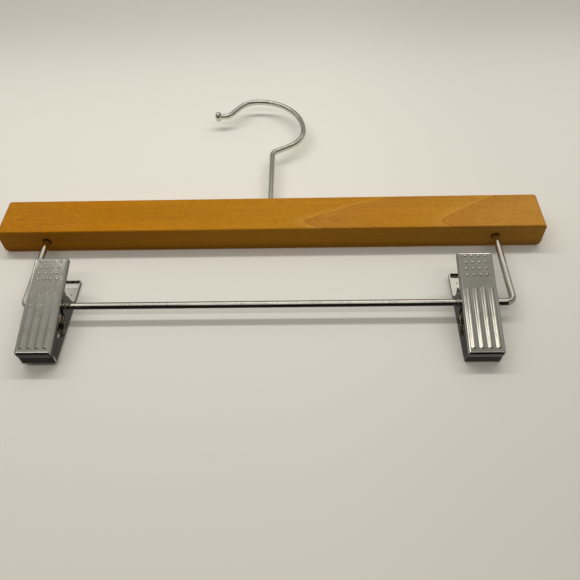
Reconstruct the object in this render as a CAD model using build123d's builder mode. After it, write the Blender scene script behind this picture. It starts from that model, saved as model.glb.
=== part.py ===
from build123d import *
from math import atan2, ceil, cos, degrees, hypot, radians, sin, sqrt, tan
import os

# Skirt hanger in millimetres, as it hangs: +Z is up, +X runs along the crossbar and the front
# looks towards -Y. The origin is the point inside the hook that sits on a closet rail.

# Crossbar
bar_length = 356.0
bar_height = 29.6
bar_thickness = 18.0
bar_end_radius = 2.6           # upright edges at the two ends
bar_edge_radius = 0.9          # long edges, only eased
hole_mouth_chamfer = 0.6       # broken edge where a wire goes into the wood
wood_clearance = 0.04          # between a wire and its hole in the wood, on the radius
hole_spare_depth = 2.0         # hole left empty past the end of a wire

# Wire of the hook and of the rail
wire_diameter = 4.2

# Swivel hook, along its centreline from the bar upwards
shank_depth = 19.0             # part inside the bar
thread_pitch = 1.8
thread_depth = 0.35
stem_length = 55.6             # from the bar to the first bend
hook_corner_radius = 6.0
hook_corner_turn = 60.0
hook_ramp_length = 10.6
hook_heel_radius = 22.0
hook_heel_turn = 60.0
hook_side_radius = 42.0
hook_side_turn = 35.0
hook_crown_radius = 36.0
hook_nose_radius = 17.0
hook_nose_turn = 55.0
hook_nose_length = 11.6
hook_lip_radius = 5.0
hook_neck_length = 4.4
bead_length = 5.6
bead_width = 7.7

# Wire rail
rail_span = 293.5              # between the centrelines of its legs
rail_drop = 53.9               # from the bar's underside down to the rod's centreline
rail_bend_radius = 4.6
rail_end_depth = 15.0          # part of each leg inside the bar

# Clip, in the side view of one jaw: reach is measured from the pivot to the plate's outer face,
# and lengths run along the plate
clip_width = 21.0
sheet = 0.7
plate_reach = 10.4
thumb_length = 28.1
tip_length = 34.9
jaw_half_angle = 6.9           # half the angle between the two plates when closed
left_clip_lean = 4.6           # swing of each clip at rest, thumb grips towards the front
right_clip_lean = 9.4
bend_radius = 1.4              # outside of the folded rim
rim_height = 3.0               # folded rim along the thumb grip and the neck
neck_end = 14.5                # where the rim starts to rise towards the tip
box_start = 22.5               # where the rims of the two jaws meet
closing_gap = 0.3              # between the two jaws when closed
ear_radius = 6.2
ear_foot = 9.5                 # half length of an ear where it leaves the plate
ear_fillet = 2.5
ear_clearance = 0.25           # between the outer and the inner ears

# Pressed dots and ribs on the plates
dot_columns = 4
dot_rows = 4
dot_pitch_across = 3.9
dot_pitch_along = 4.1
dot_diameter = 2.0
dot_height = 0.45
first_dot_row = 2.6            # from the thumb end
rib_count = 4
rib_pitch = 4.65
rib_width = 4.1
rib_height = 0.5
rib_start = 5.3                # from the pivot towards the thumb grip
rib_end_margin = 3.1           # from the tip end
rib_end_radius = 0.9           # domed ends of a rib, seen from the side
rib_sink = 0.02                # foot of a rib below the plate's face, so that the two cross cleanly

# Hollow rivet that the rod runs through
slide_clearance = 0.1          # between the rod and the tube, on the radius
tube_wall = 0.4
pivot_clearance = 0.05         # between the tube and the ears, on the radius
rim_width = 0.55               # rolled rim, past the tube's wall
rim_thickness = 0.35
rim_clearance = 0.1            # between a rolled rim and the outer ear

# Torsion spring
spring_wire = 1.2
spring_clearance = 0.3         # between coil and tube, and between a leg and its plate
spring_pitch = 1.8
spring_turns = 5
spring_leg_height = 15.0       # how far the legs reach up the thumb grips
biarcs_per_turn = 4

# Places of the clips on the rod, as gaps between a clip and the bend at its end of the rod
left_clip_gap = 0.3
right_clip_gap = 7.0

cut_overrun = 1.0              # how far a cut runs past the face that it starts from
same_place = 0.01              # two places this near count as one
sample_turn = 6.0              # degrees between the points where the spring's gap is measured

wire_radius = wire_diameter / 2
full_turn = 360.0
quarter_turn = full_turn / 4
half_turn = full_turn / 2
hook_crown_turn = quarter_turn + hook_corner_turn - hook_heel_turn - hook_side_turn


def heading(angle):
    # direction in the hanger's own plane, as an angle from +X towards +Z
    return (cos(radians(angle)), sin(radians(angle)))


def hook_centreline(foot):
    # from the shank's lower end to the bead, with the crown's highest point at the end of its arc
    up = quarter_turn
    with BuildLine(foot) as line:
        stem = Line((0, -shank_depth), (0, stem_length))
        corner = JernArc(stem @ 1, heading(up), hook_corner_radius, -hook_corner_turn)
        ramp = PolarLine(corner @ 1, hook_ramp_length, up - hook_corner_turn)
        heel = JernArc(ramp @ 1, heading(up - hook_corner_turn), hook_heel_radius, hook_heel_turn)
        toward_side = up - hook_corner_turn + hook_heel_turn
        flank = JernArc(heel @ 1, heading(toward_side), hook_side_radius, hook_side_turn)
        toward_crown = toward_side + hook_side_turn
        crown = JernArc(flank @ 1, heading(toward_crown), hook_crown_radius, hook_crown_turn)
        nose = JernArc(crown @ 1, heading(half_turn), hook_nose_radius, hook_nose_turn)
        fall = PolarLine(nose @ 1, hook_nose_length, half_turn + hook_nose_turn)
        lip = JernArc(fall @ 1, heading(half_turn + hook_nose_turn), hook_lip_radius, -hook_nose_turn)
        PolarLine(lip @ 1, hook_neck_length, half_turn)
    return line, crown @ 1


# The crown's underside is the origin, so the hook's own line gives the place of everything else
crown_top = hook_centreline(Plane.XZ)[1]
bar_centre = -crown_top.X
bar_top = wire_radius - crown_top.Z
bar_bottom = bar_top - bar_height
rod_height = bar_bottom - rail_drop
leg_reach = rail_span / 2

tube_inner_radius = wire_radius + slide_clearance
tube_outer_radius = tube_inner_radius + tube_wall
tube_half_length = clip_width / 2 + rim_clearance + rim_thickness
left_clip = bar_centre - leg_reach + rail_bend_radius + tube_half_length + left_clip_gap
right_clip = bar_centre + leg_reach - rail_bend_radius - tube_half_length - right_clip_gap

os.makedirs("parts", exist_ok=True)


def finish(piece, name):
    piece.part.label = name
    export_step(piece.part, f"parts/{name}.step")


# Crossbar: a plain stick with blind holes for the three wire ends
with BuildPart() as crossbar:
    with BuildSketch(Plane.XY.offset(bar_bottom)):
        with Locations((bar_centre, 0)):
            RectangleRounded(bar_length, bar_thickness, bar_end_radius)
    extrude(amount=bar_height)
    rims = crossbar.edges().group_by(Axis.Z)
    fillet(rims[0] + rims[-1], radius=bar_edge_radius)
    with BuildSketch(Plane.XY.offset(bar_top)):
        with Locations((bar_centre, 0)):
            Circle(wire_radius + wood_clearance)
    extrude(amount=-(shank_depth + hole_spare_depth), mode=Mode.SUBTRACT)
    with BuildSketch(Plane.XY.offset(bar_bottom)):
        with Locations((bar_centre - leg_reach, 0), (bar_centre + leg_reach, 0)):
            Circle(wire_radius + wood_clearance)
    extrude(amount=rail_end_depth + hole_spare_depth, mode=Mode.SUBTRACT)
    hole_mouths = crossbar.edges().filter_by(GeomType.CIRCLE).filter_by(
        lambda edge: abs(edge.radius - wire_radius - wood_clearance) < same_place)
    on_face = hole_mouths.filter_by_position(Axis.Z, bar_top, bar_top)
    on_face += hole_mouths.filter_by_position(Axis.Z, bar_bottom, bar_bottom)
    chamfer(on_face, length=hole_mouth_chamfer)
finish(crossbar, "crossbar")

# Swivel hook: the wire, grooves of the thread inside the bar, and the upset bead
hook_plane = Plane(origin=(bar_centre, 0, bar_top), x_dir=(1, 0, 0), z_dir=(0, -1, 0))
hook_line = hook_centreline(hook_plane)[0].line
with BuildPart() as swivel_hook:
    with BuildSketch(Plane(hook_line @ 0, z_dir=hook_line % 0)):
        Circle(wire_radius)
    sweep(path=hook_line)
    with BuildSketch(Plane(hook_line @ 1, x_dir=(-1, 0, 0), z_dir=(0, 1, 0))):
        with Locations((bead_length / 4, 0)):
            Ellipse(bead_length / 2, bead_width / 2)
            Rectangle(bead_length, bead_width, align=(Align.CENTER, Align.MAX), mode=Mode.SUBTRACT)
    revolve(axis=Axis(hook_line @ 1, (1, 0, 0)))
    flank = thread_depth + cut_overrun
    with BuildSketch(hook_plane):
        for groove in range(1, int(shank_depth / thread_pitch)):
            with Locations((wire_radius - thread_depth, -groove * thread_pitch)):
                Polygon((0, 0), (flank, flank), (flank, -flank), align=None)
    revolve(axis=Axis(hook_plane.origin, (0, 0, 1)), mode=Mode.SUBTRACT)
finish(swivel_hook, "swivel_hook")

# Wire rail: one wire, down, along and up again
with BuildPart() as wire_rail:
    rail_ends = bar_bottom + rail_end_depth
    with BuildLine(Plane.XZ) as rail_line:
        FilletPolyline(
            (bar_centre - leg_reach, rail_ends), (bar_centre - leg_reach, rod_height),
            (bar_centre + leg_reach, rod_height), (bar_centre + leg_reach, rail_ends),
            radius=rail_bend_radius)
    with BuildSketch(Plane.XY.offset(rail_ends)):
        with Locations((bar_centre - leg_reach, 0)):
            Circle(wire_radius)
    sweep(path=rail_line.line)
finish(wire_rail, "wire_rail")


# Clips

def side_plane(place, lean, outward):
    # local x points from the pivot to the plate, local y along the plate to the thumb grip
    across = (0, outward * cos(radians(lean)), outward * sin(radians(lean)))
    return Plane(origin=(place, 0, rod_height), x_dir=across, z_dir=(outward, 0, 0))


def meeting_line(along):
    # reach of the plane midway between the jaws, less half the closing gap, at a place along the plate
    return -along * tan(radians(jaw_half_angle)) + closing_gap / 2


def rim_outline():
    # one jaw from the side without its ears: rim along grip and neck, then full depth to the tip
    rim = plate_reach - rim_height
    with BuildLine() as line:
        grip = Line((rim, thumb_length), (rim, -neck_end))
        rise = TangentArc(grip @ 1, (meeting_line(-box_start), -box_start), tangent=grip % 1)
        Polyline(rise @ 1, (meeting_line(-tip_length), -tip_length),
                 (plate_reach, -tip_length), (plate_reach, thumb_length), (rim, thumb_length))
    make_face(line.edges())


def ear_outline(foot_reach):
    Circle(ear_radius)
    Polygon((0, ear_radius), (foot_reach, ear_foot), (foot_reach, -ear_foot), (0, -ear_radius),
            align=None)


def segment_radius(width, height):
    # radius of the circle whose cap has this width and height
    return (width ** 2 / 4 + height ** 2) / (2 * height)


def pressed_dot(width, height, below):
    # a round cap that stands on the XY plane and is rooted a little below it
    radius = segment_radius(width, height)
    with BuildPart() as shape:
        with BuildSketch(Plane.XZ):
            with Locations((0, height - radius)):
                Circle(radius)
            Rectangle(4 * radius, 2 * radius, align=(Align.CENTER, Align.MAX), mode=Mode.SUBTRACT)
            Rectangle(width, below, align=(Align.CENTER, Align.MAX))
            Rectangle(2 * radius, 4 * radius, align=(Align.MAX, Align.CENTER), mode=Mode.SUBTRACT)
        revolve(axis=Axis.Z)
    return shape.part


def pressed_rib(below, length):
    # a soft wave in section, hollow at both feet and round on top, running along Y with domed ends
    foot, crest = -rib_sink, rib_height
    half = rib_width / 2
    with BuildPart() as shape:
        with BuildSketch(Plane.XZ):
            with BuildLine() as line:
                rising = TangentArc((-half, foot), (-half / 2, (foot + crest) / 2), tangent=(1, 0))
                TangentArc(rising @ 1, (0, crest), tangent=rising % 1)
                mirror(about=Plane.YZ)
                Polyline((half, foot), (half, -below), (-half, -below), (-half, foot))
            make_face(line.edges())
        extrude(amount=length / 2, both=True)
        with BuildSketch(Plane.YZ):
            with Locations((0, crest)):
                RectangleRounded(length, 4 * rib_end_radius, rib_end_radius,
                                 align=(Align.CENTER, Align.MAX))
        extrude(amount=rib_width, both=True, mode=Mode.INTERSECT)
        with BuildSketch():
            SlotOverall(length, rib_width + rib_sink, rotation=quarter_turn)
        extrude(amount=below + crest, both=True, mode=Mode.INTERSECT)
    return shape.part


dent_radius = segment_radius(dot_diameter, dot_height) - sheet
dent_width = 2 * sqrt(dent_radius ** 2 - (dent_radius - dot_height) ** 2)
dot_shape = pressed_dot(dot_diameter, dot_height, sheet / 2)
dot_dent = pressed_dot(dent_width, dot_height, cut_overrun)
rib_length = rib_start + tip_length - rib_end_margin
rib_shape = pressed_rib(sheet / 2, rib_length)
rib_dent = pressed_rib(cut_overrun, rib_length - 2 * sheet)
first_row = thumb_length - first_dot_row
dot_places = [Location((0, first_row - (dot_rows - 1) * dot_pitch_along / 2)) * spot
              for spot in GridLocations(dot_pitch_across, dot_pitch_along, dot_columns, dot_rows)]
rib_places = [Location((0, rib_start - rib_length / 2)) * spot
              for spot in GridLocations(rib_pitch, rib_length, rib_count, 1)]


def plate_plane(side, reach):
    # on the plate, looking outwards: local x along the rod, local y towards the thumb grip
    origin = side.origin + side.x_dir * reach
    return Plane(origin=origin, x_dir=side.y_dir.cross(side.x_dir), z_dir=side.x_dir)


def spread(shape, plane, places):
    return [shape.moved(plane.location * place) for place in places]


def make_jaw(side, outer_ears):
    outward = Axis(side.origin, side.x_dir)
    ear_face = clip_width / 2 - (0 if outer_ears else sheet + ear_clearance)
    with BuildPart() as jaw:
        with BuildSketch(side) as outline:
            rim_outline()
            if outer_ears:
                ear_outline(plate_reach)
                on_rim = outline.vertices().filter_by(
                    lambda vertex: abs(side.to_local_coords(vertex).X - plate_reach + rim_height)
                    < same_place)
                ear_roots = on_rim.filter_by(
                    lambda vertex: abs(side.to_local_coords(vertex).Y) < ear_foot)
                fillet(ear_roots, radius=ear_fillet)
        extrude(amount=clip_width / 2, both=True)
        plate_edges = jaw.faces().sort_by(outward)[-1].edges()
        end_edges = jaw.edges().filter_by(outward)
        fillet(plate_edges + end_edges, radius=bend_radius)
        with BuildSketch(side):
            with Locations((plate_reach - sheet, (thumb_length - tip_length) / 2)):
                Rectangle(plate_reach + ear_radius + cut_overrun, thumb_length + tip_length - 2 * sheet,
                          align=(Align.MAX, Align.CENTER))
        extrude(amount=clip_width / 2 - sheet, both=True, mode=Mode.SUBTRACT)
        hollow_floor = jaw.faces().filter_by(outward).sort_by(outward)[-2]
        hollow_corners = hollow_floor.vertices()
        hollow_uprights = jaw.edges().filter_by(outward).filter_by(
            lambda edge: any(vertex in hollow_corners for vertex in edge.vertices()))
        fillet(hollow_floor.edges() + hollow_uprights, radius=bend_radius - sheet)
        if not outer_ears:
            for face in (ear_face, sheet - ear_face):
                with BuildSketch(side.offset(face - sheet)):
                    ear_outline(plate_reach - sheet / 2)
                extrude(amount=sheet)
        with BuildSketch(side):
            Circle(tube_outer_radius + pivot_clearance)
        extrude(amount=clip_width, both=True, mode=Mode.SUBTRACT)
        outer_face = plate_plane(side, plate_reach)
        inner_face = plate_plane(side, plate_reach - sheet)
        add(spread(dot_shape, outer_face, dot_places) + spread(rib_shape, outer_face, rib_places))
        add(spread(dot_dent, inner_face, dot_places) + spread(rib_dent, inner_face, rib_places),
            mode=Mode.SUBTRACT)
    return jaw


def make_tube(place):
    rod_plane = Plane(origin=(place, 0, rod_height), x_dir=(0, 1, 0), z_dir=(1, 0, 0))
    with BuildPart() as tube:
        with BuildSketch(rod_plane):
            Circle(tube_outer_radius)
        extrude(amount=tube_half_length, both=True)
        for face in (-tube_half_length, tube_half_length - rim_thickness):
            with BuildSketch(rod_plane.offset(face)):
                Circle(tube_outer_radius + rim_width)
            extrude(amount=rim_thickness)
        rolled = tube.edges().filter_by(GeomType.CIRCLE).sort_by(SortBy.RADIUS)[-4:]
        fillet(rolled, radius=rim_thickness / 3)
        with BuildSketch(rod_plane):
            Circle(tube_inner_radius)
        extrude(amount=tube_half_length + cut_overrun, both=True, mode=Mode.SUBTRACT)
    return tube


# Torsion spring, in the side view of the clip: local x to the rear, local y up the clip
coil_radius = tube_outer_radius + spring_clearance + spring_wire / 2
rise_per_degree = spring_pitch / full_turn
leg_reach_rear = ((plate_reach - sheet) / cos(radians(jaw_half_angle))
                  + spring_leg_height * tan(radians(jaw_half_angle))
                  - (spring_wire / 2 + spring_clearance) / cos(radians(jaw_half_angle)))
leg_aim = degrees(atan2(spring_leg_height, leg_reach_rear))
leg_distance = hypot(spring_leg_height, leg_reach_rear)
leave_angle = leg_aim - degrees(atan2(sqrt(leg_distance ** 2 - coil_radius ** 2), coil_radius))
leg_length = sqrt(leg_distance ** 2 - coil_radius ** 2)
coil_sweep = full_turn * spring_turns + half_turn + 2 * leave_angle


def coil_point(plane, wound):
    # centreline after this many degrees of winding, with its direction
    angle = radians(leave_angle - wound)
    along = (wound - coil_sweep / 2) * rise_per_degree
    point = plane.from_local_coords(
        Vector(coil_radius * cos(angle), coil_radius * sin(angle), along))
    climb = degrees(rise_per_degree) / coil_radius
    turning = Vector(sin(angle), -cos(angle), climb).normalized()
    ahead = plane.from_local_coords(turning) - plane.origin
    return point, ahead


def spring_centreline(plane):
    steps = ceil(coil_sweep / full_turn * biarcs_per_turn)
    with BuildLine() as line:
        start, ahead = coil_point(plane, 0)
        Line(start - ahead * leg_length, start)
        for step in range(1, steps + 1):
            end, leaving = coil_point(plane, coil_sweep * step / steps)
            chord = end - start
            blend = chord.dot(ahead + leaving)
            bend = 2 * (1 - ahead.dot(leaving))
            reach = (sqrt(blend ** 2 + bend * chord.dot(chord)) - blend) / bend
            middle = (start + end + (ahead - leaving) * reach) * 0.5
            TangentArc(start, middle, tangent=ahead)
            TangentArc(end, middle, tangent=leaving * -1)
            start, ahead = end, leaving
        Line(start, start + ahead * leg_length)
    return line.line


def least_gap(plane):
    # smallest space between turns, measured between points of the centreline
    samples = [coil_point(plane, sample_turn * step)[0] for step in range(int(coil_sweep / sample_turn))]
    apart = int(half_turn / sample_turn)
    return min((samples[j] - samples[i]).length for i in range(len(samples))
               for j in range(i + apart, len(samples))) - spring_wire


def make_spring(plane):
    path = spring_centreline(plane)
    with BuildPart() as spring:
        with BuildSketch(Plane(path @ 0, z_dir=path % 0)):
            Circle(spring_wire / 2)
        sweep(path=path)
    return spring


for name, place, lean in (("left", left_clip, left_clip_lean), ("right", right_clip, right_clip_lean)):
    rear_side = side_plane(place, lean - jaw_half_angle, 1)
    front_side = side_plane(place, lean + jaw_half_angle, -1)
    spring_side = side_plane(place, lean, 1)
    finish(make_jaw(rear_side, outer_ears=True), f"{name}_rear_jaw")
    finish(make_jaw(front_side, outer_ears=False), f"{name}_front_jaw")
    finish(make_tube(place), f"{name}_clip_tube")
    finish(make_spring(spring_side), f"{name}_clip_spring")

print("bar centre", round(bar_centre, 3), "top", round(bar_top, 3), "rod", round(rod_height, 3))
print("clips", round(left_clip, 3), round(right_clip, 3))
print("least gap between the spring's turns", round(least_gap(Plane.YZ), 3))
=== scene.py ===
from math import atan2, ceil, cos, hypot, pi, radians, sin, sqrt

import bmesh
import bpy
from mathutils import Matrix, Vector


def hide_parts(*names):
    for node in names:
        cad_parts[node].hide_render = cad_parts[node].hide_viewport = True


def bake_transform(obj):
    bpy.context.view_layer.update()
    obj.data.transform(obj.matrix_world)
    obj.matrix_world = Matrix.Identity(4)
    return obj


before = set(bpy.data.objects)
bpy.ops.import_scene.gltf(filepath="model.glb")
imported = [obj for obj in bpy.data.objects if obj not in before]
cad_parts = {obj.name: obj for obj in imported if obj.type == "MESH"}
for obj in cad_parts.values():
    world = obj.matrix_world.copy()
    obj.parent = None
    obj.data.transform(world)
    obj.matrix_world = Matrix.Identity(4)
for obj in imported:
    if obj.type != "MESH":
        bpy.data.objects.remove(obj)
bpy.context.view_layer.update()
mm = 0.001


def fromHex(text):
    # colour given in the usual hex code, as the linear values that a socket takes
    parts = [int(text[i:i + 2], 16) / 255 for i in (0, 2, 4)]
    return [c / 12.92 if c <= 0.04045 else ((c + 0.055) / 1.055) ** 2.4 for c in parts] + [1.0]


def addNode(tree, kind, label=None, **settings):
    node = tree.nodes.new(kind)
    if label:
        node.label = label
    for name, value in settings.items():
        setattr(node, name, value)
    return node


def plug(tree, source, socket):
    # a number or colour is set on the socket, an output is linked to it
    if isinstance(source, bpy.types.NodeSocket):
        tree.links.new(source, socket)
    else:
        socket.default_value = source


def maths(tree, operation, *inputs):
    node = addNode(tree, "ShaderNodeMath", operation=operation)
    for source, socket in zip(inputs, node.inputs):
        plug(tree, source, socket)
    return node.outputs[0]


def times(tree, first, *others):
    for other in others:
        first = maths(tree, "MULTIPLY", first, other)
    return first


def addShares(tree, total, *parts):
    # each part is a field and the share of it that is added
    for field, share in parts:
        total = maths(tree, "ADD", total, times(tree, field, share))
    return total


def flipped(tree, value):
    return maths(tree, "SUBTRACT", 1.0, value)


def axes(tree, vector):
    split = addNode(tree, "ShaderNodeSeparateXYZ")
    tree.links.new(vector, split.inputs[0])
    return split.outputs


def addBump(tree, shader, height, strength, distance):
    bump = addNode(tree, "ShaderNodeBump")
    for name, source in (("Strength", strength), ("Distance", distance), ("Height", height)):
        plug(tree, source, bump.inputs[name])
    tree.links.new(bump.outputs[0], shader.inputs["Normal"])


def inMm(*values):
    return [value * mm for value in values]


def remap(tree, value, low, high, toLow=0.0, toHigh=1.0, smooth=True):
    node = addNode(tree, "ShaderNodeMapRange",
                   interpolation_type="SMOOTHSTEP" if smooth else "LINEAR")
    for name, source in (("Value", value), ("From Min", low), ("From Max", high),
                         ("To Min", toLow), ("To Max", toHigh)):
        plug(tree, source, node.inputs[name])
    return node.outputs[0]


def mixColour(tree, factor, first, second, blend="MIX"):
    node = addNode(tree, "ShaderNodeMix", data_type="RGBA", blend_type=blend)
    plug(tree, factor, node.inputs[0])
    plug(tree, first, node.inputs[6])
    plug(tree, second, node.inputs[7])
    return node.outputs[2]


def stretched(tree, vector, scale, turn=(0, 0, 0), shift=(0, 0, 0)):
    node = addNode(tree, "ShaderNodeMapping")
    plug(tree, vector, node.inputs["Vector"])
    node.inputs["Location"].default_value = shift
    node.inputs["Rotation"].default_value = [radians(a) for a in turn]
    node.inputs["Scale"].default_value = scale
    return node.outputs[0]


def noise(tree, vector, scale, detail=2.0, rough=0.5, distortion=0.0):
    node = addNode(tree, "ShaderNodeTexNoise")
    for name, source in (("Vector", vector), ("Scale", scale), ("Detail", detail),
                         ("Roughness", rough), ("Distortion", distortion)):
        plug(tree, source, node.inputs[name])
    return node.outputs["Fac"]


def newGroup(name, inputs, outputs):
    tree = bpy.data.node_groups.new(name, "ShaderNodeTree")
    for label, kind, value in inputs:
        socket = tree.interface.new_socket(label, in_out="INPUT", socket_type=kind)
        if value is not None:
            socket.default_value = value
    for label, kind in outputs:
        tree.interface.new_socket(label, in_out="OUTPUT", socket_type=kind)
    return tree, tree.nodes.new("NodeGroupInput"), tree.nodes.new("NodeGroupOutput")


def placeGroup(tree, group, vector, **values):
    node = addNode(tree, "ShaderNodeGroup", node_tree=group, label=group.name)
    tree.links.new(vector, node.inputs["Vector"])
    for name, value in values.items():
        plug(tree, value, node.inputs[name])
    return node


# Effects that several finishes share

hairline = {
    # degrees turned, and how far the noise is drawn out
    "ways": (((8, 0, 14), (0.02, 1, 1)), ((0, 63, 27), (1, 0.025, 1)), ((31, 12, 0), (1, 1, 0.02))),
    "edges": (0.64, 0.74),         # of the noise, where a scratch starts and is whole
    "patchScale": 60.0, "patchEdges": (0.75, 1.15),
}


def makeHairlines():
    # fine scratches in three directions, each a noise drawn out along one of them
    c = hairline
    tree, given, out = newGroup(
        "fineHairlines",
        [("Vector", "NodeSocketVector", None), ("Density", "NodeSocketFloat", 900.0),
         ("Coverage", "NodeSocketFloat", 0.5)],
        [("Mask", "NodeSocketFloat"), ("Height", "NodeSocketFloat")])
    scratched = 0.0
    for turn, drawn in c["ways"]:
        turned = stretched(tree, given.outputs["Vector"], drawn, turn)
        field = noise(tree, turned, given.outputs["Density"], 1.0)
        scratched = maths(tree, "MAXIMUM", scratched, remap(tree, field, *c["edges"]))
    patch = noise(tree, given.outputs["Vector"], c["patchScale"], 2.0)
    patch = maths(tree, "ADD", patch, given.outputs["Coverage"])
    shown = times(tree, scratched, remap(tree, patch, *c["patchEdges"]))
    tree.links.new(shown, out.inputs["Mask"])
    tree.links.new(times(tree, shown, -1.0), out.inputs["Height"])
    return tree


fingermark = {
    "patchEdges": (0.42, 0.72),
    "dustScale": 1900.0, "dustEdges": (0.60, 0.78),
}


def makeHandling():
    # faint fingermarks and dust: soft patches, and a finer speckle
    c = fingermark
    tree, given, out = newGroup(
        "handlingMarks",
        [("Vector", "NodeSocketVector", None), ("Size", "NodeSocketFloat", 90.0),
         ("Amount", "NodeSocketFloat", 0.5)],
        [("Mask", "NodeSocketFloat"), ("Dust", "NodeSocketFloat")])
    patch = noise(tree, given.outputs["Vector"], given.outputs["Size"], 3.0, 0.55, 0.4)
    patch = remap(tree, patch, *c["patchEdges"])
    speckle = remap(tree, noise(tree, given.outputs["Vector"], c["dustScale"], 1.0), *c["dustEdges"])
    tree.links.new(times(tree, patch, given.outputs["Amount"]), out.inputs["Mask"])
    tree.links.new(times(tree, speckle, given.outputs["Amount"]), out.inputs["Dust"])
    return tree


hairlines = makeHairlines()
handling = makeHandling()
print("shared effects ready")


def startFinish(name):
    material = bpy.data.materials.new(name)
    material.use_nodes = True
    tree = material.node_tree
    shader = tree.nodes["Principled BSDF"]
    place = addNode(tree, "ShaderNodeTexCoord").outputs["Object"]
    return material, tree, shader, place


def giveFinish(node, material):
    slots = node.data.materials
    if not slots:
        slots.append(material)
    for i in range(len(slots)):
        slots[i] = material
    for slot in node.material_slots:
        slot.material = material


crossbar = {
    "gold": "b67c16",              # varnished wood away from the figure
    "goldLeft": ("b57400", 50, -140),   # deeper in colour towards the left end, from and to in mm
    "goldRight": ("bb8531", 90, 180),   # paler towards the right end
    "inArc": "ae7229",             # browner wood inside each arc
    "glow": "c68f38",              # light wood just outside each arc
    "line": "94631a",              # thin line along the arc itself
    "fleck": "6e3f10",
    "arcs": [                      # mm: tip along the bar, tip's height, how fast it opens, strength
        (36.3, -145.25, 0.33, 1.0),
        (52.0, -143.0, 0.34, 0.35),
        (125.1, -146.95, 0.53, 1.0),
        (150.0, -144.0, 0.55, 0.3),
        (-111.0, -141.8, -0.5, 0.25),
    ],
    "frontFace": -9.0,             # mm
    "pithAhead": 3.0,              # mm that the pith lies in front of the front face
    "inArcRise": (0.0, -0.9), "inArcFade": (-26.0, -0.5),   # mm of depth at which each starts and is whole
    "glowRise": (-0.3, 0.6), "glowFade": (4.5, 0.4),
    "lineDepth": -0.5, "lineWidth": (0.8, 0.1),
    "faceOnly": (-8.7, -7.6),      # mm, the arcs end a little way round the front edges
    # noise drawn out along the bar: scale, shift, detail, roughness
    "fields": {
        "wander": ((9, 40, 40), (0, 0, 0), 3.0, 0.55),
        "ripple": ((30, 190, 190), (3, 1, 7), 2.0, 0.5),
        "streak": ((11, 420, 420), (0, 0, 0), 4.0, 0.6),
        "broad": ((6, 80, 80), (1, 4, 2), 3.0, 0.5),
        "pore": ((420, 1500, 1500), (0, 0, 0), 2.0, 0.6),
        "fleck": ((190, 2600, 2600), (0, 0, 0), 1.0, 0.5),
        "fleckPatch": ((40, 90, 90), (6, 2, 9), 2.0, 0.5),
    },
    "arcsWander": (("wander", 5.0), ("ripple", 1.4)),       # mm
    # the noise's low edge, and how dark and how light the wood gets there and as far above its middle
    "toneSpread": (("streak", 0.25, 0.94, 1.055), ("broad", 0.3, 0.955, 1.04), ("pore", 0.25, 0.88, 1.12)),
    "fleckEdges": (0.66, 0.74), "fleckPatchEdges": (0.36, 0.62),
    "shown": {"inArc": 0.6, "glow": 0.5, "line": 0.35, "fleck": 0.45, "knot": 0.5, "stainAndShadow": 0.85},
    "knotHeight": -140.15,         # mm, dark streak near the left end
    "knotEnds": ((-157.0, -150.0), (-144.6, -149.5)),
    "knotWidth": (1.1, 0.0), "knotFaceOnly": (-5.5, -8.5),
    "underside": (-150.9, -151.9), # mm up, from here down the wood is darker, as in the photo: painted shade
    "undersidePaintedShade": (2.0, 9.0, 0.22, 0.46),   # mm towards the back, and how much darker the painted shade gets
    "wireHoles": (13.905, 146.75), # mm, middle of the bar and from there to each hole
    # dark staining round the wire holes, partly painted shadow of the gap round the wire in its hole
    "holeStainAndShadow": "4a2a08", "stainAndShadowReach": (3.6, 2.3),
    "marks": {"Size": 45.0, "Amount": 0.6}, "scratches": {"Density": 420.0, "Coverage": 0.25},
    "rough": 0.36, "marksRough": 0.14, "scratchesRough": 0.12,
    "specular": 0.09, "coat": (0.07, 0.03), "coatRough": 0.16,
    "peelScale": 330.0, "heights": {"peel": 0.3, "streak": 0.5, "fleck": -0.8, "scratches": 0.25},
    "bumpStrength": 0.25, "bumpDepth": 0.12,    # mm
}


def addArcs(tree, x, y, z, drift):
    # growth rings cut by the saw: depth inside each arc gives its line, its glow and its brown side
    c = crossbar
    masks = [0.0, 0.0, 0.0]
    inward = maths(tree, "SUBTRACT", y, (c["frontFace"] - c["pithAhead"]) * mm)
    inward = maths(tree, "POWER", inward, 2.0)
    for tip, height, opening, strength in c["arcs"]:
        upward = maths(tree, "POWER", maths(tree, "SUBTRACT", z, height * mm), 2.0)
        radius = maths(tree, "SQRT", maths(tree, "ADD", upward, inward))
        along = times(tree, maths(tree, "SUBTRACT", x, tip * mm), opening)
        depth = maths(tree, "SUBTRACT", maths(tree, "SUBTRACT", radius, c["pithAhead"] * mm), along)
        depth = maths(tree, "ADD", depth, drift)
        inside, glow = (times(tree, *(remap(tree, depth, *inMm(*c[step])) for step in steps))
                        for steps in (("inArcRise", "inArcFade"), ("glowRise", "glowFade")))
        offLine = maths(tree, "ABSOLUTE", maths(tree, "SUBTRACT", depth, c["lineDepth"] * mm))
        line = remap(tree, offLine, *inMm(*c["lineWidth"]))
        masks = [maths(tree, "MAXIMUM", mask, times(tree, new, strength))
                 for mask, new in zip(masks, (inside, glow, line))]
    return masks


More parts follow.
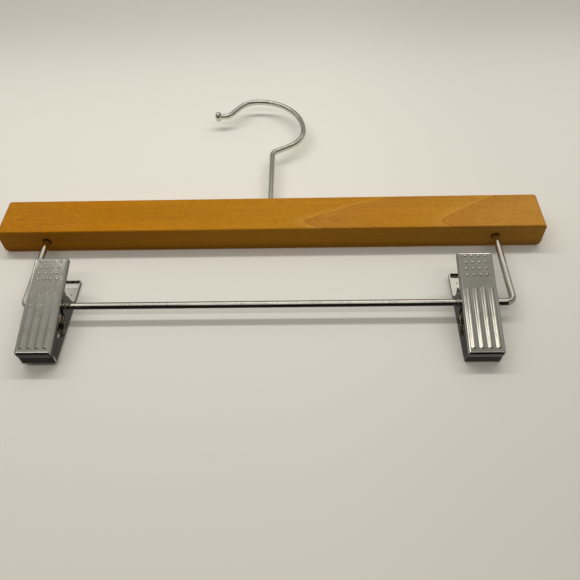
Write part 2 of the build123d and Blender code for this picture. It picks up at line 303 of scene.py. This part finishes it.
def makeWood():
    c = crossbar
    material, tree, shader, place = startFinish("varnishedWood")
    x, y, z = axes(tree, place)
    field = {name: noise(tree, stretched(tree, place, scale, shift=shift), 1.0, detail, rough)
             for name, (scale, shift, detail, rough) in c["fields"].items()}
    drift = addShares(tree, 0.0, *((maths(tree, "SUBTRACT", field[name], 0.5), reach * mm)
                                   for name, reach in c["arcsWander"]))
    onFace = remap(tree, y, *inMm(*c["faceOnly"]), 1.0, 0.0)
    inside, glow, line = (times(tree, mask, onFace) for mask in addArcs(tree, x, y, z, drift))

    # short dark flecks in patches, and the one dark streak of a knot
    fleck = times(tree, remap(tree, field["fleck"], *c["fleckEdges"]),
                  remap(tree, field["fleckPatch"], *c["fleckPatchEdges"]))
    offKnot = maths(tree, "ABSOLUTE", maths(tree, "SUBTRACT", z, c["knotHeight"] * mm))
    knotStreak = times(tree, remap(tree, y, *inMm(*c["knotFaceOnly"])),
                       remap(tree, offKnot, *inMm(*c["knotWidth"])),
                       *(remap(tree, x, *inMm(*ends)) for ends in c["knotEnds"]))

    tone = fromHex(c["gold"])
    for colour, start, end in (c["goldLeft"], c["goldRight"]):
        tone = mixColour(tree, remap(tree, x, *inMm(start, end)), tone, fromHex(colour))
    for mask, name in ((inside, "inArc"), (glow, "glow"), (line, "line")):
        tone = mixColour(tree, times(tree, mask, c["shown"][name]), tone, fromHex(c[name]))
    for name, edge, darker, lighter in c["toneSpread"]:
        spread = remap(tree, field[name], edge, 1 - edge, darker, lighter)
        tone = mixColour(tree, 1.0, tone, spread, "MULTIPLY")
    for mask, name in ((fleck, "fleck"), (knotStreak, "knot")):
        tone = mixColour(tree, times(tree, mask, c["shown"][name]), tone, fromHex(c["fleck"]))
    # painted shade: the underside darkens, more towards the back edge where the bar meets the paper
    under = remap(tree, z, *inMm(*c["underside"]))
    start, end, before, after = c["undersidePaintedShade"]
    shade = times(tree, under, remap(tree, y, *inMm(start, end), before, after))
    tone = mixColour(tree, 1.0, tone, flipped(tree, shade), "MULTIPLY")
    # dark staining round the wire holes on the underside, partly painted shadow of the gap round each wire
    middle, reach = c["wireHoles"]
    off = maths(tree, "SUBTRACT", maths(tree, "ABSOLUTE", maths(tree, "SUBTRACT", x, middle * mm)), reach * mm)
    off = maths(tree, "SQRT", maths(tree, "ADD", maths(tree, "POWER", off, 2.0), maths(tree, "POWER", y, 2.0)))
    stainAndShadow = times(tree, remap(tree, off, *inMm(*c["stainAndShadowReach"])), under)
    tone = mixColour(tree, times(tree, stainAndShadow, c["shown"]["stainAndShadow"]), tone, fromHex(c["holeStainAndShadow"]))
    tree.links.new(tone, shader.inputs["Base Color"])

    marks = placeGroup(tree, handling, place, **c["marks"])
    scratches = placeGroup(tree, hairlines, place, **c["scratches"])
    rough = addShares(tree, c["rough"], (marks.outputs["Mask"], c["marksRough"]),
                      (scratches.outputs["Mask"], c["scratchesRough"]))
    tree.links.new(rough, shader.inputs["Roughness"])
    shader.inputs["Specular IOR Level"].default_value = c["specular"]
    shader.inputs["Coat Roughness"].default_value = c["coatRough"]
    tree.links.new(remap(tree, marks.outputs["Mask"], 0.0, 0.6, *c["coat"]), shader.inputs["Coat Weight"])
    relief = {"peel": noise(tree, place, c["peelScale"], 2.0), "streak": field["streak"], "fleck": fleck,
              "scratches": scratches.outputs["Height"]}
    height = addShares(tree, 0.0, *((relief[name], share) for name, share in c["heights"].items()))
    addBump(tree, shader, height, c["bumpStrength"], c["bumpDepth"] * mm)
    return material


giveFinish(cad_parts["crossbar"], makeWood())
print("crossbar finished")


anyMetal = {"scratchDull": 0.5, "scratchRough": 0.8, "dustRough": 0.10, "scratchDepth": 0.006}


def makeMetal(name, tint, dull, rough, roughSpread, wave, waveSize, density, coverage, marksAmount):
    # plated steel: a tint that turns duller under handling marks, and a surface that is never quite flat
    c = anyMetal
    material, tree, shader, place = startFinish(name)
    marks = placeGroup(tree, handling, place, Size=110.0, Amount=marksAmount)
    scratches = placeGroup(tree, hairlines, place, Density=density, Coverage=coverage)
    scratchesDull = times(tree, scratches.outputs["Mask"], c["scratchDull"])
    worn = maths(tree, "MAXIMUM", marks.outputs["Mask"], scratchesDull)
    tree.links.new(mixColour(tree, worn, fromHex(tint), fromHex(dull)), shader.inputs["Base Color"])
    shader.inputs["Metallic"].default_value = 1.0
    rough = addShares(tree, rough, (marks.outputs["Mask"], roughSpread),
                      (scratches.outputs["Mask"], roughSpread * c["scratchRough"]),
                      (marks.outputs["Dust"], c["dustRough"]))
    tree.links.new(rough, shader.inputs["Roughness"])
    rolling = noise(tree, place, waveSize, 2.0, 0.4)
    height = addShares(tree, 0.0, (rolling, wave), (scratches.outputs["Height"], c["scratchDepth"]))
    addBump(tree, shader, height, 1.0, mm)
    return material


hookAndRail = {"tint": "d2cec4", "dull": "aca79c", "rough": 0.09, "roughSpread": 0.15, "wave": 0.008,
               "waveSize": 70.0, "density": 700.0, "coverage": 0.45, "marksAmount": 0.35}
clipPlate = {"tint": "cfcdc4", "dull": "a7a498", "rough": 0.06, "roughSpread": 0.15, "wave": 0.010,
             "waveSize": 90.0, "density": 900.0, "coverage": 0.4, "marksAmount": 0.4}
rivetTube = {"tint": "bcb9b2", "dull": "8f8b83", "rough": 0.16, "roughSpread": 0.18, "wave": 0.02,
             "waveSize": 160.0, "density": 1400.0, "coverage": 0.5, "marksAmount": 0.5}
springSteel = {"tint": "9f9c96", "dull": "66625b", "rough": 0.22, "roughSpread": 0.2, "wave": 0.02,
               "waveSize": 200.0, "density": 1400.0, "coverage": 0.55, "marksAmount": 0.6}

brightWire = makeMetal("brightWire", **hookAndRail)
platedSheet = makeMetal("platedSheet", **clipPlate)
tubeFinish = makeMetal("rivetTube", **rivetTube)
springFinish = makeMetal("springSteel", **springSteel)

for name in ("swivel_hook", "wire_rail"):
    giveFinish(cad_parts[name], brightWire)
for side in ("left", "right"):
    giveFinish(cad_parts[f"{side}_front_jaw"], platedSheet)
    giveFinish(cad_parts[f"{side}_rear_jaw"], platedSheet)
    giveFinish(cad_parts[f"{side}_clip_tube"], tubeFinish)
print("metals finished")


clipSpring = {
    "places": {"left": -116.995, "right": 138.105},   # mm along the bar
    "leans": {"left": 4.6, "right": 9.4},             # degrees, as the clips hang
    "rodHeight": -205.99,
    "wire": 1.2,
    "coilRadius": 3.5,
    "pitch": 1.8,
    "turns": 5,
    "legHeight": 15.0,
    "plateReach": 9.7,            # inside face of a jaw's plate
    "jawHalfAngle": 6.9,
    "clearance": 0.3,
    "tipInset": 0.14, "tipDome": 0.12,   # mm, rounding of the wire's cut ends
    "sides": 14,                  # round the wire
    "stepsPerTurn": 30,
    "weld": 0.0005,
}


def makeSpring(side):
    # the wire's ring is spun up the coil, then both ends run straight out as legs
    c = clipSpring
    half = radians(c["jawHalfAngle"])
    legRear = (c["plateReach"] + c["legHeight"] * sin(half) - c["wire"] / 2 - c["clearance"]) / cos(half)
    legDistance = hypot(c["legHeight"], legRear)
    legLength = sqrt(legDistance ** 2 - c["coilRadius"] ** 2)
    leave = atan2(c["legHeight"], legRear) - atan2(legLength, c["coilRadius"])
    sweep = 2 * pi * c["turns"] + pi + 2 * leave
    steps = ceil(sweep / (2 * pi) * c["stepsPerTurn"])
    rise = sweep / (2 * pi) * c["pitch"]
    lean = radians(c["leans"][side])

    bm = bmesh.new()
    ring = bmesh.ops.create_circle(bm, segments=c["sides"], radius=c["wire"] / 2 * mm)["verts"]
    # clip's own frame: X along the rod, Y to the rear, Z up; the ring stands across the wire
    climb = atan2(c["pitch"], 2 * pi * c["coilRadius"])
    tangent = Vector((sin(climb), sin(leave) * cos(climb), -cos(leave) * cos(climb)))
    start = Vector((-rise / 2, c["coilRadius"] * cos(leave), c["coilRadius"] * sin(leave))) * mm
    facing = tangent.to_track_quat("Z", "X").to_matrix().to_4x4()
    bmesh.ops.transform(bm, matrix=Matrix.Translation(start) @ facing, verts=ring)
    startEdges = list({edge for vert in ring for edge in vert.link_edges})
    turned = bmesh.ops.spin(bm, geom=startEdges, cent=(0, 0, 0), axis=(-1, 0, 0), angle=sweep,
                            dvec=(rise * mm / steps, 0, 0), steps=steps)["geom_last"]
    turning = Matrix.Rotation(-sweep, 3, "X")
    endTangent = turning @ tangent
    endEdges = [item for item in turned if isinstance(item, bmesh.types.BMEdge)]
    for edges, way in ((startEdges, -tangent), (endEdges, endTangent)):
        grown = bmesh.ops.extrude_edge_only(bm, edges=edges)["geom"]
        verts = [item for item in grown if isinstance(item, bmesh.types.BMVert)]
        bmesh.ops.translate(bm, vec=way * legLength * mm, verts=verts)
        tipEdges = [item for item in grown if isinstance(item, bmesh.types.BMEdge)
                    and all(vert in verts for vert in item.verts)]
        capped = bmesh.ops.edgeloop_fill(bm, edges=tipEdges)["faces"]
        bmesh.ops.inset_region(bm, faces=capped, thickness=c["tipInset"] * mm, depth=0.0)
        bmesh.ops.translate(bm, vec=way * c["tipDome"] * mm, verts=list({v for f in capped for v in f.verts}))
    bmesh.ops.remove_doubles(bm, verts=bm.verts, dist=c["weld"] * mm)
    bmesh.ops.recalc_face_normals(bm, faces=bm.faces)
    spot = Vector((c["places"][side], 0, c["rodHeight"])) * mm
    bmesh.ops.transform(bm, matrix=Matrix.Translation(spot) @ Matrix.Rotation(lean, 4, "X"), verts=bm.verts)

    mesh = bpy.data.meshes.new(f"{side}_spring_wire")
    bm.to_mesh(mesh)
    bm.free()
    mesh.polygons.foreach_set("use_smooth", [True] * len(mesh.polygons))
    spring = bpy.data.objects.new(f"{side}_spring_wire", mesh)
    bpy.context.scene.collection.objects.link(spring)
    spring.data.materials.append(springFinish)
    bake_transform(spring)
    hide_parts(f"{side}_clip_spring")
    return spring


for side in ("left", "right"):
    made = makeSpring(side)
    print(side, "spring:", len(made.data.polygons), "faces")


studio = {
    "paper": "e6e2d9",
    "paperTouch": (-122.5, 9.1),   # mm, height and depth where the paper meets the bar's back
    "paperLeans": (0.018, 0.0254), # it falls away behind the hook, and behind the clips, which lie on it too
    "paperReach": 1500.0,          # mm to each side
    "nearRay": (3.0, 4.0),         # mm, light from nearer goes through the paper, behind the bar and the clips
    "nearRayFrom": (-158.0, -172.0),     # mm up, between the bar and the clips
    "noGlossBelow": (-130.0, -165.0),    # mm up, lower down gloss sees the surround instead of the paper
    "paperPaintedLight": ((200.0, 40.0, 0.92, 1.095), (0.0, -360.0, 1.0, 0.84)),  # mm up, and how light there: painted light, lightest from about 0 to 40 mm up, painted shade towards the top and the bottom
    # mm across, painted shade towards the right
    "rightPaintedShade": (30.0, 200.0, 1.0, 0.92),
    "paperRough": 0.9, "paperSpecular": 0.1, "paperPatches": (0.3, 0.7, 0.99, 1.01),
    "highLight": 2.65, "highPlace": (14.0, -630.0, 66.0),
    "frontLight": 1.4, "frontPlace": (14.0, -650.0, -440.0),
    "lightTarget": (14.0, 10.0, -180.0),
    "tube": (1.2, 0.06),           # m, both lights are long tubes across
    "surround": 1.0,
    "tint": (1.0, 0.975, 0.90, 1.0),
    "seenBehind": "ddd8ce",        # plain colour past the paper's edges
    "sidesFade": (0.5, 0.97, 1.0, 0.4),   # across from and to, and the share of the light left there
    # degrees up from straight ahead, and the light from there: first on matt surfaces, then in gloss
    "mattLevels": [(-180, 0.5), (-120, 0.25), (-97, 0.012), (-60, 0.02), (-38, 0.08), (-20, 0.22), (0, 0.45),
                   (15, 0.64), (45, 0.64), (70, 0.35), (105, 0.1), (140, 0.4), (180, 0.5)],
    "glossLevels": [(-180, 0.12), (-165, 0.05), (-141, 0.03), (-120, 0.02), (-97, 0.006), (-70, 0.01),
                    (-50, 0.03), (-38, 0.07), (-26, 0.12), (-8, 0.18), (5, 0.36), (12, 0.4), (30, 0.42),
                    (50, 0.38), (70, 0.3), (105, 0.25), (133, 0.36), (143, 0.08), (158, 0.05), (170, 0.14),
                    (180, 0.12)],
    "sideGain": 1.5,
    "sideLevelsTo": (8.0, 26.0),   # degrees up, where the side levels give way to the plain fading
    # across from left to right, the share of the gloss light low down, before the gain
    "sideLevels": [(-1.0, 0.42), (-0.86, 0.5), (-0.72, 0.58), (-0.6, 0.62), (0.2, 0.66), (0.27, 0.6),
                   (0.36, 0.8), (0.75, 0.75), (0.9, 0.4), (1.0, 0.3)],
    "tubes": ((23.0, 3.5, 4.2), (-19.0, 3.5, 2.8)),   # degrees up, half width, level
    "tubeCore": 1.0,               # degrees from its middle that a tube is at its level
    "tubeEnds": ((0.42, 0.3), (-0.7, -0.5)),          # across, where the tubes fade out and are whole
    "wings": (0.46, 0.6, 0.0, 0.36),   # far to both sides it is never darker than this
    "wingsFrom": (28.0, 48.0),     # degrees up or down, so not straight ahead
    # degrees up from and to, across from and to, level
    "screens": ((-5.0, 4.2, -0.60, 0.19, 1.3), (31.0, 48.0, -0.22, 0.45, 0.55),
                (24.0, 48.0, -0.76, -0.36, 0.35), (-46.0, -18.0, -0.2, 0.2, 0.42)),
    "screenFade": (2.0, 0.03),     # degrees and across, over which a screen's edges fade
    "lampTint": (1, 0.985, 0.955),
}


def makePaper():
    c = studio
    top, depth = c["paperTouch"]
    bm = bmesh.new()
    above, below = c["paperLeans"]
    verts = [bm.verts.new((-c["paperReach"] * mm, (depth + abs(top - z) * lean) * mm, z * mm))
             for z, lean in ((c["paperReach"], above), (top, 0.0), (-c["paperReach"], below))]
    edges = [bm.edges.new(pair) for pair in zip(verts, verts[1:])]
    grown = bmesh.ops.extrude_edge_only(bm, edges=edges)["geom"]
    bmesh.ops.translate(bm, vec=(2 * c["paperReach"] * mm, 0, 0),
                        verts=[item for item in grown if isinstance(item, bmesh.types.BMVert)])
    bmesh.ops.recalc_face_normals(bm, faces=bm.faces)
    if sum(face.normal.y for face in bm.faces) > 0:
        bmesh.ops.reverse_faces(bm, faces=bm.faces)
    mesh = bpy.data.meshes.new("paper")
    bm.to_mesh(mesh)
    bm.free()
    paper = bpy.data.objects.new("paper", mesh)
    bpy.context.scene.collection.objects.link(paper)

    material, tree, shader, place = startFinish("paper")
    x, y, z = axes(tree, place)
    patches = remap(tree, noise(tree, place, 3.0, 2.0), *c["paperPatches"])
    tone = mixColour(tree, 1.0, fromHex(c["paper"]), patches, "MULTIPLY")
    # painted light and shade on the paper: lighter in a band across the middle, darker high up, low down and
    # to the right
    for axis, (start, end, before, after) in zip((z, z, x), (*c["paperPaintedLight"], c["rightPaintedShade"])):
        paintedLightFall = remap(tree, axis, *inMm(start, end), before, after)
        tone = mixColour(tree, 1.0, tone, paintedLightFall, "MULTIPLY")
    tree.links.new(tone, shader.inputs["Base Color"])
    shader.inputs["Roughness"].default_value = c["paperRough"]
    shader.inputs["Specular IOR Level"].default_value = c["paperSpecular"]
    # it isn't there from behind, nor in gloss low down,
    # and it doesn't darken the backs of the pieces that lie on it
    path = addNode(tree, "ShaderNodeLightPath")
    near = remap(tree, z, *inMm(*c["nearRayFrom"], *c["nearRay"]))
    close = maths(tree, "LESS_THAN", path.outputs["Ray Length"], near)
    hidden = times(tree, close, flipped(tree, path.outputs["Is Camera Ray"]))
    hidden = maths(tree, "MAXIMUM", hidden, addNode(tree, "ShaderNodeNewGeometry").outputs["Backfacing"])
    low = remap(tree, z, *inMm(*c["noGlossBelow"]))
    hidden = maths(tree, "MAXIMUM", hidden, times(tree, path.outputs["Is Glossy Ray"], low))
    clear = addNode(tree, "ShaderNodeBsdfTransparent")
    mix = addNode(tree, "ShaderNodeMixShader")
    tree.links.new(hidden, mix.inputs[0])
    tree.links.new(shader.outputs[0], mix.inputs[1])
    tree.links.new(clear.outputs[0], mix.inputs[2])
    tree.links.new(mix.outputs[0], tree.nodes["Material Output"].inputs["Surface"])
    paper.data.materials.append(material)


def levelRamp(tree, value, stops, lowest, highest):
    ramp = addNode(tree, "ShaderNodeValToRGB")
    tree.links.new(remap(tree, value, lowest, highest, smooth=False), ramp.inputs[0])
    steps = ramp.color_ramp.elements
    while len(steps) < len(stops):
        steps.new(0.5)
    for step, (stop, level) in zip(steps, stops):
        step.position = (stop - lowest) / (highest - lowest)
        step.color = (level, level, level, 1)
    return ramp.outputs[0]


def makeWorld():
    # soft studio: matt surfaces and gloss each have their own levels, and gloss sees the tubes and screens too
    c = studio
    world = bpy.data.worlds.new("studio")
    bpy.context.scene.world = world
    world.use_nodes = True
    tree = world.node_tree
    tree.nodes.clear()
    path = addNode(tree, "ShaderNodeLightPath")
    direction = addNode(tree, "ShaderNodeTexCoord").outputs["Generated"]
    x, y, z = axes(tree, direction)
    angle = maths(tree, "ARCTAN2", z, times(tree, y, -1.0))
    degree = times(tree, angle, 180 / pi)
    across = maths(tree, "ABSOLUTE", x)

    fading = remap(tree, across, *c["sidesFade"])
    matt = times(tree, levelRamp(tree, degree, c["mattLevels"], -180, 180), fading)
    side = times(tree, levelRamp(tree, x, c["sideLevels"], -1, 1), c["sideGain"])
    high = remap(tree, degree, *c["sideLevelsTo"])
    side = maths(tree, "ADD", times(tree, side, flipped(tree, high)), times(tree, fading, high))
    gloss = times(tree, levelRamp(tree, degree, c["glossLevels"], -180, 180), side)
    wing = times(tree, remap(tree, across, *c["wings"]),
                 remap(tree, maths(tree, "ABSOLUTE", degree), *c["wingsFrom"]))
    gloss = maths(tree, "MAXIMUM", gloss, wing)
    bright = 0.0
    for centre, width, level in c["tubes"]:
        off = maths(tree, "ABSOLUTE", maths(tree, "SUBTRACT", degree, centre))
        bright = maths(tree, "ADD", bright, remap(tree, off, width, c["tubeCore"], 0.0, level))
    bright = times(tree, bright, *(remap(tree, x, *ends) for ends in c["tubeEnds"]))
    fade, sideFade = c["screenFade"]
    for lower, upper, left, right, level in c["screens"]:
        screen = times(tree, remap(tree, degree, lower - fade, lower + fade / 2),
                       remap(tree, degree, upper + fade, upper - fade / 2),
                       remap(tree, x, left - sideFade, left + sideFade),
                       remap(tree, x, right + sideFade, right - sideFade), level)
        bright = maths(tree, "ADD", bright, screen)
    gloss = maths(tree, "ADD", gloss, bright)

    isGloss = path.outputs["Is Glossy Ray"]
    level = maths(tree, "ADD", times(tree, gloss, isGloss), times(tree, matt, flipped(tree, isGloss)))
    surround = addNode(tree, "ShaderNodeBackground")
    tree.links.new(mixColour(tree, 1.0, c["tint"], level, "MULTIPLY"), surround.inputs["Color"])
    surround.inputs["Strength"].default_value = c["surround"]
    plain = addNode(tree, "ShaderNodeBackground")
    plain.inputs["Color"].default_value = fromHex(c["seenBehind"])
    mix = addNode(tree, "ShaderNodeMixShader")
    tree.links.new(path.outputs["Is Camera Ray"], mix.inputs[0])
    tree.links.new(surround.outputs[0], mix.inputs[1])
    tree.links.new(plain.outputs[0], mix.inputs[2])
    out = addNode(tree, "ShaderNodeOutputWorld")
    tree.links.new(mix.outputs[0], out.inputs["Surface"])


def addLamp(name, place, strength):
    c = studio
    lamp = bpy.data.lights.new(name, "AREA")
    lamp.shape = "RECTANGLE"
    lamp.size, lamp.size_y = c["tube"]
    lamp.energy = strength
    lamp.color = c["lampTint"]
    body = bpy.data.objects.new(name, lamp)
    bpy.context.scene.collection.objects.link(body)
    body.location = Vector(place) * mm
    away = (body.location - Vector(c["lightTarget"]) * mm).normalized()
    body.rotation_mode = "QUATERNION"
    body.rotation_quaternion = away.to_track_quat("Z", "Y")
    body.visible_glossy = False    # gloss sees the softer strips of the surround instead


photoView = {
    "place": (37.77, -283.78, -424.63),          # mm
    "ahead": (-0.02667, 0.77746, 0.62837),
    "up": (0.0108, -0.62833, 0.77787),
    "focalPixels": 600.0, "photoPixels": 580.0,  # the lens in pixels of the photo, and the photo's width
    "film": 36.0,
    "clip": (0.01, 20.0),          # m
}


def makeCamera():
    c = photoView
    ahead = Vector(c["ahead"]).normalized()
    right = ahead.cross(Vector(c["up"])).normalized()
    up = right.cross(ahead).normalized()
    lens = bpy.data.cameras.new("camera")
    lens.sensor_width = c["film"]
    lens.lens = c["focalPixels"] / c["photoPixels"] * c["film"]
    lens.clip_start, lens.clip_end = c["clip"]
    camera = bpy.data.objects.new("camera", lens)
    bpy.context.scene.collection.objects.link(camera)
    turn = Matrix((right, up, -ahead)).transposed().to_4x4()
    camera.matrix_world = Matrix.Translation(Vector(c["place"]) * mm) @ turn
    bpy.context.scene.camera = camera


makePaper()
makeWorld()
addLamp("frontLamp", studio["frontPlace"], studio["frontLight"])
addLamp("highLamp", studio["highPlace"], studio["highLight"])
makeCamera()
bpy.context.scene.view_settings.view_transform = "Standard"
print("studio ready")
